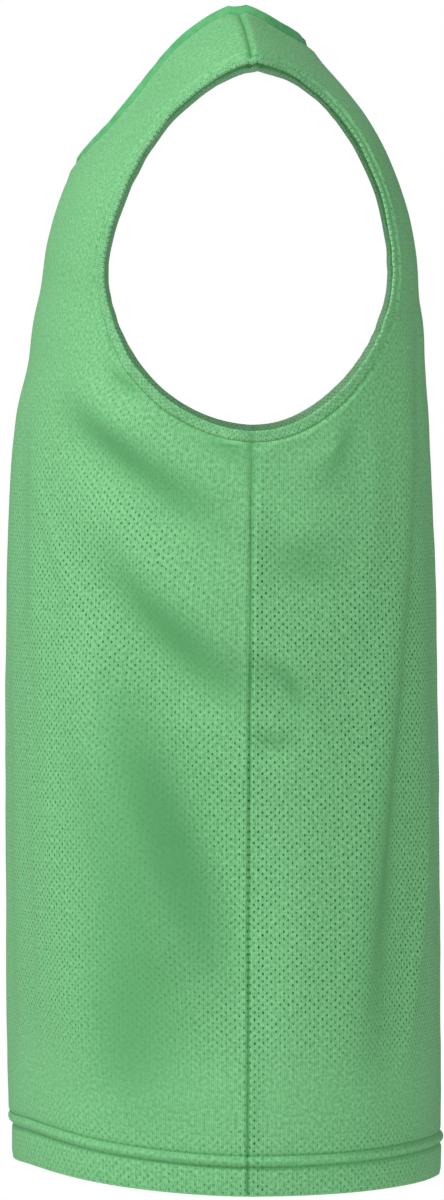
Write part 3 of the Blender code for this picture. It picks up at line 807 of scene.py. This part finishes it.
def band_outline(width, thickness):
    """A folded strip's section, (away from the panel, out of the cloth), inside first."""
    half = thickness / 2
    upper = [(share * width, BAND_FALL + half * part) for share, part in BAND_RISE]
    lower = [(share * width, BAND_FALL - half * part) for share, part in BAND_RISE]
    return np.array(lower + [(width, BAND_FALL)] + upper[::-1])


def band_stations(whole, join):
    """Lengths round a strip where its rings are, close together at its join."""
    even = np.arange(0, whole, whole / round(whole / BAND_STEP))
    even = even[np.abs(even - join) > JOIN_CLEAR]
    return np.sort(np.concatenate([even, join + np.array(JOIN_STEPS)]))


def band(name, ring, sizes, material, join, stand=None):
    """A folded strip sewn round an edge, joined end to end at a length round it."""
    stations = band_stations(length_round(ring[0])[1], join)
    points, out = walk_round(ring, stations)
    out /= np.linalg.norm(out, axis=1, keepdims=True)
    away, facing = away_from(points, out, points.mean(axis=0))
    points = points + away * SEAM_GAP
    if stand is not None:
        turn = stand(points)[:, None]
        away, out = (
            away * np.cos(turn) + out * np.sin(turn),
            out * np.cos(turn) - away * np.sin(turn),
        )
    pinch = 1 - JOIN_PINCH * groove(stations - join, JOIN_NARROW)
    pinch = pinch + JOIN_SWELL * groove(stations - join, JOIN_WIDE)
    outline = band_outline(**sizes)
    rings = (
        points[:, None]
        + away[:, None] * outline[None, :, :1]
        + out[:, None] * outline[None, :, 1:] * pinch[:, None, None]
    )
    faces = tube_faces(*rings.shape[:2], closed=True)
    faces = faces if facing > 0 else faces[:, ::-1]
    flat = np.stack(np.broadcast_arrays(stations[:, None], outline[None, :, 0]), axis=-1)
    piece = add_piece(
        name, rings.reshape(-1, 3), faces.tolist(), flat.reshape(-1, 2), material, sharp=70,
    )
    # Painted light: the strip's underside, which shows only in shade, is painted paler.
    under = (outline[-1, 1] - outline[:, 1]) / sizes["thickness"]
    mark(piece, "inside_light", np.tile(ease(under * 2 - 0.2), len(stations)))
    return piece


def neck_stand(points):
    """How far the neck's strip turns out of the cloth, in radians, at points round it."""
    share = np.clip(np.abs(points[:, 0]) / NECK_POINT, 0, 1)
    turns = {"front": share**0.8, "back": ease((share - 0.3) / 0.6)}
    fore, aft = (low + (high - low) * turns[word] for word, (low, high) in NECK_STAND.items())
    return np.radians(fore + (aft - fore) * ease(0.5 + points[:, 1] / NECK_BLEND))


# ---------------------------------------------------------------- seam allowances


def allowance(name, columns, material):
    """A strip of overlocked seam allowance that lies against the inside of the cloth.

    Each column is a side, and the places of a line on that panel along the seam.
    """
    near, far = [], []
    for side, across, along in columns:
        outside, out = cloth(across, along, side)
        near.append(outside - out * (CLOTH + ALLOWANCE_FACES[0]))
        far.append(outside - out * (CLOTH + ALLOWANCE_FACES[1]))
    rows = np.stack(near + far[::-1], axis=1)
    count, corners = rows.shape[:2]
    faces = tube_faces(count, corners, closed=False).tolist()
    faces += [list(range(corners))[::-1], list(range((count - 1) * corners, count * corners))]
    length = np.linspace(0, 1, count)[:, None] * ALLOWANCE_FLAT[0]
    width = np.arange(corners) * ALLOWANCE_FLAT[1]
    flat = np.stack(np.broadcast_arrays(length, width), axis=-1)
    return add_piece(name, rows.reshape(-1, 3), faces, flat.reshape(-1, 2), material, sharp=50)


def side_allowance(name, hand, material):
    """The allowance from the hem up to the underarm, pressed toward the back."""
    low, short, count = SIDE_ALLOWANCE
    along = np.linspace(low, CHEST_TO_HEM - SEAM_TOP - short, count) - CHEST_TO_HEM
    columns = [
        (side, np.full(along.size, hand * (1 - step / QUARTER_GIRTH)), along)
        for side, step in ALLOWANCE_STEPS
    ]
    return allowance(name, columns, material)


def shoulder_allowance(name, hand, material):
    """The allowance from the neck point to the armhole, pressed toward the back."""
    short, count = SHOULDER_ALLOWANCE
    near_neck, near_armhole = HALVES[1][NECK_COLUMN, -1, 0], HALVES[1][-1, -1, 0]
    across = np.linspace(near_neck + short, near_armhole - short, count) * hand
    columns = [
        (side, across, np.full(across.size, SHOULDER - step)) for side, step in ALLOWANCE_STEPS
    ]
    return allowance(name, columns, material)


# ---------------------------------------------------------------- stitches


def stitches(name, lines, material, pitch, length, radius):
    """Rows of thread, each stitch a short strand that dives into the cloth at its ends.

    Each line is a closed one, as points and directions out of the cloth.
    """
    share, thick, lift = np.array(STRAND).T
    along, thick, lift = share * length, thick * radius, lift * radius
    turn = np.arange(STRAND_SIDES) * 2 * math.pi / STRAND_SIDES
    quads = tube_faces(len(STRAND), STRAND_SIDES, closed=False)
    points, faces, flat = [], [], []
    for ring in lines:
        whole = length_round(ring[0])[1]
        stations = np.arange(round(whole / pitch)) * whole / round(whole / pitch)
        middle, out = walk_round(ring, stations)
        after, before = (walk_round(ring, stations + step)[0] for step in (NUDGE, -NUDGE))
        ahead = (after - before) / np.linalg.norm(after - before, axis=1, keepdims=True)
        beside = np.cross(ahead, out)
        beside /= np.linalg.norm(beside, axis=1, keepdims=True)
        out = np.cross(beside, ahead)
        spine = middle[:, None] + ahead[:, None] * along[:, None] + out[:, None] * lift[:, None]
        around = beside[:, None, None] * np.cos(turn)[:, None]
        around = around + out[:, None, None] * np.sin(turn)[:, None]
        made = spine[:, :, None] + around * thick[:, None, None]
        first = sum(len(block) for block in points)
        starts = first + np.arange(len(stations)) * turn.size * along.size
        points.append(made.reshape(-1, 3))
        faces.append((quads + starts[:, None, None]).reshape(-1, 4))
        place = np.broadcast_arrays(along[None, :, None], radius * turn, spine[..., :1])[:2]
        flat.append(np.stack(place, axis=-1).reshape(-1, 2))
    points, faces, flat = (np.concatenate(blocks) for blocks in (points, faces, flat))
    return add_piece(name, points, faces.tolist(), flat, material, sharp=80)


# ---------------------------------------------------------------- materials


def linear(colour):
    """An sRGB colour such as "#6fbf80" as the linear one that shaders take."""
    parts = [int(colour[k : k + 2], 16) / 255 for k in (1, 3, 5)]
    return [p / 12.92 if p <= 0.04045 else ((p + 0.055) / 1.055) ** 2.4 for p in parts] + [1.0]


def add_node(tree, kind, inputs=None, **settings):
    """Adds a shader node, with its settings, and its inputs as values or as links."""
    made = tree.nodes.new(kind)
    for name, value in settings.items():
        setattr(made, name, value)
    for name, value in (inputs or {}).items():
        if isinstance(value, bpy.types.NodeSocket):
            tree.links.new(value, made.inputs[name])
        else:
            made.inputs[name].default_value = value
    return made


def blank_material(name):
    """A new material and its empty node tree."""
    material = bpy.data.materials.new(name)
    material.use_nodes = True
    material.node_tree.nodes.clear()
    return material, material.node_tree


# Each pair of colours is the light one and the deep one.  The light one is painted on the
# crowns of loops, ribs and plies as a painted highlight, and in the yarn's lighter patches.
YARN = ("#83c68c", "#549f62")
EYELET_SHADE = "#13562a"
FOLD_SEAM_SHADE = "#559e63"  # painted shade on the mesh's face along the folds, seams and hem rows
PALE_INSIDE_LIGHT = "#a1d6a9"  # and painted light that makes its inside paler, where it shows only in shade
STRIP = ("#86c48f", "#4f985d")
STRIP_EYELET_SHADE = "#2a7342"
BINDING = ("#5fae72", "#3a9556")
THREAD = ("#58a96c", "#3a8a50")
DARK_THREAD = ("#35814b", "#256b3c")
SHEEN, BINDING_SHEEN = "#d8efd2", "#c8e6cc"
FLOOR = "#f1f1ef"

HOLE_STEP = (5.4 * MM, 4.65 * MM)  # the mesh repeats at this, with a second set between
HOLE_HALF = (0.56 * MM, 0.80 * MM)  # half the width and height of an eyelet
HOLE_DRIFT = 1.1 * MM  # how far the cloth's pull moves the eyelets about
DRIFT_SIZE = 5.882 * MM  # and over what length of cloth that changes
UNEVEN_SIZE = 4.762 * MM  # length over which some eyelets close a little more
WALE = 1.15 * MM  # width of one column of knit loops
FUZZ = 2.381 * MM  # patches of lighter and deeper yarn, coarse enough to show
RIB = 1.1 * MM  # width of one rib of the neck's binding
RIB_FUZZ = 7.143 * MM  # and patches of its yarn
PLY = 0.45 * MM  # one turn of the thread's two plies


def wave_scale(width):
    """The wave texture's scale for bands of a width: at scale 1 it draws 20 in 2 pi."""
    return 2 * math.pi / (20 * width)


def eyelet_set(tree, place, size, shift):
    """How far each place is from an eyelet of one set, where 1 is the eyelet's edge."""
    turned = add_node(
        tree, "ShaderNodeVectorMath",
        {0: place, 1: [1 / (length * size) for length in HOLE_STEP] + [1], 2: shift},
        operation="MULTIPLY_ADD",
    )
    cell = add_node(tree, "ShaderNodeVectorMath", {0: turned.outputs[0]}, operation="FRACTION")
    spread = [length / half for length, half in zip(HOLE_STEP, HOLE_HALF)] + [0]
    centred = add_node(
        tree, "ShaderNodeVectorMath",
        {0: cell.outputs[0], 1: spread, 2: [-part / 2 for part in spread]},
        operation="MULTIPLY_ADD",
    )
    far = add_node(tree, "ShaderNodeVectorMath", {0: centred.outputs[0]}, operation="LENGTH")
    return far.outputs["Value"]


def eyelets(tree, place, size):
    """Where the knit's eyelets are, 1 in the middle of one and 0 on the yarn between, and
    where each place lies before the pull.

    Neighbouring rows sit half a step apart, and the cloth's pull moves and squeezes them.
    """
    drift = add_node(
        tree, "ShaderNodeTexNoise", {"Vector": place, "Scale": 1 / DRIFT_SIZE, "Detail": 2.0},
        noise_dimensions="2D",
    )
    moved = add_node(
        tree, "ShaderNodeVectorMath",
        {0: drift.outputs["Color"], 1: (HOLE_DRIFT, HOLE_DRIFT, 0), 2: place},
        operation="MULTIPLY_ADD",
    ).outputs[0]
    sets = [eyelet_set(tree, moved, size, shift) for shift in ((0, 0, 0), (0.5, 0.5, 0))]
    nearest = add_node(tree, "ShaderNodeMath", dict(enumerate(sets)), operation="MINIMUM")
    hole = add_node(
        tree, "ShaderNodeMapRange",
        {"Value": nearest.outputs[0], "From Min": 1.45, "From Max": 0.6},
        interpolation_type="SMOOTHSTEP",
    )
    uneven = add_node(
        tree, "ShaderNodeTexNoise", {"Vector": moved, "Scale": 1 / UNEVEN_SIZE, "Detail": 1.0},
        noise_dimensions="2D",
    )
    share = add_node(
        tree, "ShaderNodeMapRange",
        {"Value": uneven.outputs[0], "From Min": 0.34, "From Max": 0.58, "To Min": 0.45},
    )
    product = add_node(
        tree, "ShaderNodeMath", {0: hole.outputs[0], 1: share.outputs[0]}, operation="MULTIPLY"
    )
    return product.outputs[0], moved


def patchy_yarn_and_crown_highlight(tree, place, fuzz, loops, weight, lightest, colours):
    """The yarn's colour: a painted highlight on the crown of each loop, and uneven in small
    patches.
    """
    patches = add_node(
        tree, "ShaderNodeTexNoise", {"Vector": place, "Scale": 1 / fuzz, "Detail": 4.0},
        noise_dimensions="2D",
    )
    mixed = add_node(
        tree, "ShaderNodeMath", {0: loops, 1: weight, 2: patches.outputs[0]},
        operation="MULTIPLY_ADD",
    )
    share = add_node(
        tree, "ShaderNodeMapRange",
        {"Value": mixed.outputs[0], "From Min": 0.30, "From Max": lightest},
    )
    light, deep = (linear(colour) for colour in colours)
    yarn = add_node(
        tree, "ShaderNodeMix", {0: share.outputs[0], 6: deep, 7: light}, data_type="RGBA"
    )
    return yarn.outputs[2]


def knit_surface(name, colours, eyelet, opened, size=1.0):
    """An eyelet knit's shader, from the yarn colours of one dyeing and the eyelets' painted
    shade.

    opened is how far its eyelets stand open, or None for the share that the cloth itself
    carries from place to place.  The cloth also carries where painted shade deepens its face
    along the folds, seams and hem rows, and where painted light makes its inside paler.
    """
    material, tree = blank_material(name)
    place = add_node(tree, "ShaderNodeUVMap", uv_map="flat_cloth").outputs[0]
    hole, moved = eyelets(tree, place, size)
    if opened is None:
        opened = add_node(tree, "ShaderNodeAttribute", attribute_name="openness").outputs["Fac"]
    shade_share, inside_light = (
        add_node(tree, "ShaderNodeAttribute", attribute_name=word).outputs["Fac"]
        for word in ("painted_shade", "inside_light")
    )
    # The eyelets are painted dark, as painted shade of the inside seen through them.
    dark = add_node(tree, "ShaderNodeMath", {0: hole, 1: opened}, operation="MULTIPLY").outputs[0]
    wales = add_node(
        tree, "ShaderNodeTexWave",
        {"Vector": moved, "Scale": wave_scale(WALE), "Distortion": 1.5},
        bands_direction="X",
    ).outputs["Fac"]
    colour = patchy_yarn_and_crown_highlight(tree, place, FUZZ, wales, 0.30, 0.95, colours)
    # Over the yarn go the painted shade of folds and seams, the painted light inside, and the
    # eyelets' painted shade.
    for share, covering in ((shade_share, FOLD_SEAM_SHADE), (inside_light, PALE_INSIDE_LIGHT), (dark, eyelet)):
        colour = add_node(
            tree, "ShaderNodeMix", {0: share, 6: colour, 7: linear(covering)}, data_type="RGBA"
        ).outputs[2]
    loops = add_node(tree, "ShaderNodeMath", {0: wales, 1: 0.15}, operation="MULTIPLY")
    height = add_node(
        tree, "ShaderNodeMath", {0: loops.outputs[0], 1: dark}, operation="SUBTRACT"
    )
    bump = add_node(
        tree, "ShaderNodeBump",
        {"Height": height.outputs[0], "Strength": 0.6, "Distance": 0.4 * MM},
    )
    shader = add_node(
        tree, "ShaderNodeBsdfPrincipled",
        {"Base Color": colour, "Roughness": 0.6, "IOR": 1.5, "Specular IOR Level": 0.2,
         "Sheen Weight": 0.04, "Sheen Roughness": 0.5, "Sheen Tint": linear(SHEEN),
         "Normal": bump.outputs[0]},
    )
    add_node(tree, "ShaderNodeOutputMaterial", {"Surface": shader.outputs[0]})
    return material


def mesh_knit():
    """Polyester eyelet mesh, warp-knitted from fine filament yarn and piece-dyed.

    The filament gives a pale sheen where the light grazes a matt, saturated face.  The
    eyelets are painted dark, as painted shade of the bib's inside seen through them, and
    close up where the folds draw the cloth taut; painted shade deepens the face along the
    folds and seams.  The inside is painted paler, as painted light that lifts its shade.
    """
    return knit_surface("mesh_knit", YARN, EYELET_SHADE, None)


def mesh_strip():
    """The same eyelet mesh, cut in strips and folded over the armhole's edge.

    Two layers lie on each other, so the eyelets look smaller and their painted shade lighter in
    the fold.
    """
    return knit_surface("mesh_strip", STRIP, STRIP_EYELET_SHADE, 0.75, size=0.62)


def binding_knit():
    """Polyester rib strip, circular-knitted, folded in half and dyed with the mesh.

    Close, smooth ribs across the strip, deeper in colour because no light comes through.
    """
    material, tree = blank_material("binding_knit")
    place = add_node(tree, "ShaderNodeUVMap", uv_map="flat_cloth").outputs[0]
    ribs = add_node(
        tree, "ShaderNodeTexWave",
        {"Vector": place, "Scale": wave_scale(RIB), "Distortion": 1.0, "Detail": 1.0},
        bands_direction="X",
    ).outputs["Fac"]
    bump = add_node(
        tree, "ShaderNodeBump", {"Height": ribs, "Strength": 0.35, "Distance": 0.3 * MM}
    )
    shader = add_node(
        tree, "ShaderNodeBsdfPrincipled",
        {"Base Color": patchy_yarn_and_crown_highlight(tree, place, RIB_FUZZ, ribs, 0.35, 1.0, BINDING),
         "Roughness": 0.7, "IOR": 1.5, "Specular IOR Level": 0.3, "Sheen Weight": 0.2,
         "Sheen Roughness": 0.4, "Sheen Tint": linear(BINDING_SHEEN), "Normal": bump.outputs[0]},
    )
    add_node(tree, "ShaderNodeOutputMaterial", {"Surface": shader.outputs[0]})
    return material


def sewing_thread(name, colours):
    """Spun polyester sewing thread, two plies twisted together, dyed to match.

    The plies show as slanted lines, with a painted highlight on top of each, on a soft, low
    shine.
    """
    material, tree = blank_material(name)
    place = add_node(tree, "ShaderNodeUVMap", uv_map="flat_cloth").outputs[0]
    slanted = add_node(
        tree, "ShaderNodeMapping", {"Vector": place, "Rotation": (0, 0, math.radians(35))}
    )
    twist = add_node(
        tree, "ShaderNodeTexWave", {"Vector": slanted.outputs[0], "Scale": wave_scale(PLY)},
        bands_direction="X",
    ).outputs["Fac"]
    light, deep = (linear(colour) for colour in colours)
    colour = add_node(tree, "ShaderNodeMix", {0: twist, 6: deep, 7: light}, data_type="RGBA")
    bump = add_node(
        tree, "ShaderNodeBump", {"Height": twist, "Strength": 0.5, "Distance": 0.1 * MM}
    )
    shader = add_node(
        tree, "ShaderNodeBsdfPrincipled",
        {"Base Color": colour.outputs[2], "Roughness": 0.5, "IOR": 1.5,
         "Normal": bump.outputs[0]},
    )
    add_node(tree, "ShaderNodeOutputMaterial", {"Surface": shader.outputs[0]})
    return material


# ---------------------------------------------------------------- the bib


def make_bib():
    """Cuts and sews the bib's pieces."""
    knit, rib, strip = mesh_knit(), binding_knit(), mesh_strip()
    thread = sewing_thread("sewing_thread", THREAD)
    deep_thread = sewing_thread("deep_thread", DARK_THREAD)
    front, back = panel("front_cloth", -1, knit), panel("back_cloth", 1, knit)
    neck = band("neck_band", neck_ring(), NECK_BAND, rib, NECK_JOIN, neck_stand)
    bands, inner = [neck], []
    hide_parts("neck_binding")
    for word, hand in (("left", 1), ("right", -1)):
        made = band("armhole_band_" + word, armhole_ring(hand), ARM_BAND, strip, ARM_JOIN)
        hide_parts("armhole_binding_" + word)
        bands.append(made)
        inner.append(side_allowance("side_allowance_" + word, hand, strip))
        inner.append(shoulder_allowance("shoulder_allowance_" + word, hand, strip))
    rows = [level_ring(up) for up in (HEM_STITCHES, HEM_HEIGHT)]
    hem = stitches("hem_stitches", rows, thread, **STITCH)
    seam = stitches("neck_stitches", [neck_ring()], deep_thread, **SEAM_STITCH)
    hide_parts("front_panel")
    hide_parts("back_panel")
    for piece in (front, back, hem, seam, *bands[1:], *inner):
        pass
    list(bands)
    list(inner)


# ---------------------------------------------------------------- studio

SCALE = 0.6173 * MM  # real size of a pixel of the photograph at the bib's middle
PICTURE_HEIGHT = 1200
CAMERA = Vector((9.0, -0.0142, -0.168))
AIM = Vector((0.0, -0.0142, -0.361))
SENSOR = 36.0  # millimetres, over the picture's longer side

# Each lamp's place, the width of its disc, and its power in watts.
LAMPS = {
    "key": ((1.0, -4.3, 1.75), 1.2, 102),
    "top": ((0.95, -0.95, 1.85), 0.7, 31),
    "back": ((1.8, 4.1, 1.2), 1.6, 48),
    "fill": ((6.5, 0.0, -0.2), 1.0, 140),
}
ROOM_LIGHT = 0.25  # how strongly the white room lights the bib, where it shows as 1
FLOOR_RADIUS, FLOOR_HEIGHT = 2.6, -1.08


def place_camera():
    """A long lens, level with the armholes, that frames the bib as the photograph does."""
    way = AIM - CAMERA
    data = bpy.data.cameras.new("camera")
    data.sensor_width = SENSOR
    data.lens = SENSOR * way.length / (SCALE * PICTURE_HEIGHT)
    camera = bpy.data.objects.new("camera", data)
    camera.location = CAMERA
    camera.rotation_euler = way.to_track_quat("-Z", "Y").to_euler()
    bpy.context.scene.collection.objects.link(camera)
    bpy.context.scene.camera = camera


def place_light(name, spot, size, power):
    """A round lamp that points at the bib's middle."""
    data = bpy.data.lights.new(name, "AREA")
    data.shape = "DISK"
    data.size = size
    data.energy = power
    lamp = bpy.data.objects.new(name, data)
    lamp.location = spot
    middle = Vector((0, 0, -BODY_DROP / 2))
    lamp.rotation_euler = (middle - lamp.location).to_track_quat("-Z", "Y").to_euler()
    bpy.context.scene.collection.objects.link(lamp)


def light_studio():
    for name, lamp in LAMPS.items():
        place_light(name, *lamp)


def white_surround():
    """A white room: it shows as plain white, and lights the bib more softly than that."""
    world = bpy.data.worlds.new("studio")
    bpy.context.scene.world = world
    world.use_nodes = True
    tree = world.node_tree
    tree.nodes.clear()
    seen = add_node(tree, "ShaderNodeLightPath").outputs["Is Camera Ray"]
    strength = add_node(
        tree, "ShaderNodeMapRange", {"Value": seen, "To Min": ROOM_LIGHT, "To Max": 1.0}
    )
    light = add_node(
        tree, "ShaderNodeBackground", {"Color": (1, 1, 1, 1), "Strength": strength.outputs[0]}
    )
    add_node(tree, "ShaderNodeOutputWorld", {"Surface": light.outputs[0]})


def lay_floor():
    """A pale matt disc below the bib, as of painted board."""
    material, tree = blank_material("floor")
    shader = add_node(
        tree, "ShaderNodeBsdfPrincipled", {"Base Color": linear(FLOOR), "Roughness": 0.9}
    )
    add_node(tree, "ShaderNodeOutputMaterial", {"Surface": shader.outputs[0]})
    turn = np.arange(96) * 2 * math.pi / 96
    x, y = FLOOR_RADIUS * np.cos(turn), FLOOR_RADIUS * np.sin(turn)
    points = np.stack([x, y, np.full(turn.size, FLOOR_HEIGHT)], axis=1)
    mesh = bpy.data.meshes.new("floor")
    mesh.from_pydata(points.tolist(), [], [list(range(turn.size))])
    mesh.materials.append(material)
    floor = bpy.data.objects.new("floor", mesh)
    bpy.context.scene.collection.objects.link(floor)


make_bib()
place_camera()
light_studio()
white_surround()
lay_floor()
bpy.context.scene.view_settings.view_transform = "Standard"
